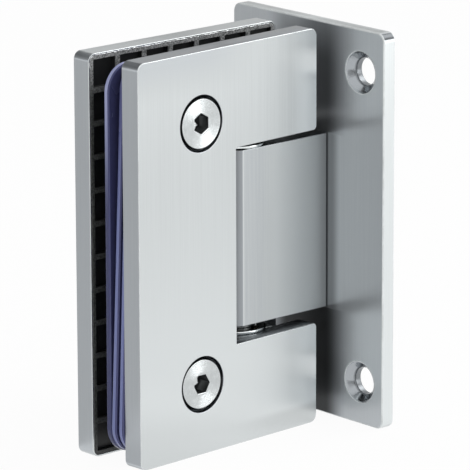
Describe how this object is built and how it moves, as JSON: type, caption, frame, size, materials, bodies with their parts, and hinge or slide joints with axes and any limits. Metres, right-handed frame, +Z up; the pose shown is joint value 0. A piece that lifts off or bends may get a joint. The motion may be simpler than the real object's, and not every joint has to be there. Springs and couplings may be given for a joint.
{
  "type": "glass door hinge clamp",
  "caption": "Brushed steel wall-to-glass hinge clamp: a wall plate with a pivot block, and two notched plates that grip the glass between gaskets and swing on an upright pin.",
  "frame": {"origin": "centre of the wall hole pattern on the wall plate's wall-side face", "axes": "+X into the wall, -Y towards the front clamp plate, +Z up along the pin"},
  "size_m": [0.0645, 0.0494, 0.09],
  "materials": {
    "plate_steel": "fine vertical brushing",
    "screw_steel": "turned and polished",
    "pin_steel": "ground",
    "bush_metal": "turned",
    "washer_steel": "polished, with rounded edges",
    "liner_plastic": "moulded black waffle",
    "gasket_plastic": "translucent violet-blue sheet",
    "sleeve_plastic": "natural nylon"
  },
  "bodies": {
    "bracket": {"wall_plate": "plate_steel", "pivot_block": "plate_steel", "block_screws": "pin_steel", "upper_bush": "bush_metal", "lower_bush": "bush_metal", "upper_washer": "washer_steel", "upper_spring": "pin_steel", "lower_spring": "pin_steel"},
    "leaf": {"front_plate": "plate_steel", "rear_plate": "plate_steel", "rear_liner": "liner_plastic", "front_gasket": "gasket_plastic", "middle_gasket": "gasket_plastic", "back_gasket": "gasket_plastic", "upper_clamp_screw": "screw_steel", "lower_clamp_screw": "screw_steel", "upper_sleeve": "sleeve_plastic", "lower_sleeve": "sleeve_plastic", "pivot_pin": "pin_steel", "lower_washer": "washer_steel"},
    "upper_detent": {"upper_plunger": "pin_steel"},
    "lower_detent": {"lower_plunger": "pin_steel"}
  },
  "joints": [
    {"name": "leaf_swing", "type": "hinge", "parent": "bracket", "child": "leaf", "pos_m": [-0.025, 0, 0], "axis": [0, 0, 1], "range_deg": [-90, 90]},
    {"name": "upper_detent_slide", "type": "slide", "parent": "bracket", "child": "upper_detent", "axis": [1, 0, 0], "range_m": [0, 0.0006], "stiffness_N_per_m": 4000, "springref_m": -0.002, "deforming": ["upper_spring"]},
    {"name": "lower_detent_slide", "type": "slide", "parent": "bracket", "child": "lower_detent", "axis": [1, 0, 0], "range_m": [0, 0.0006], "stiffness_N_per_m": 4000, "springref_m": -0.002, "deforming": ["lower_spring"]}
  ]
}
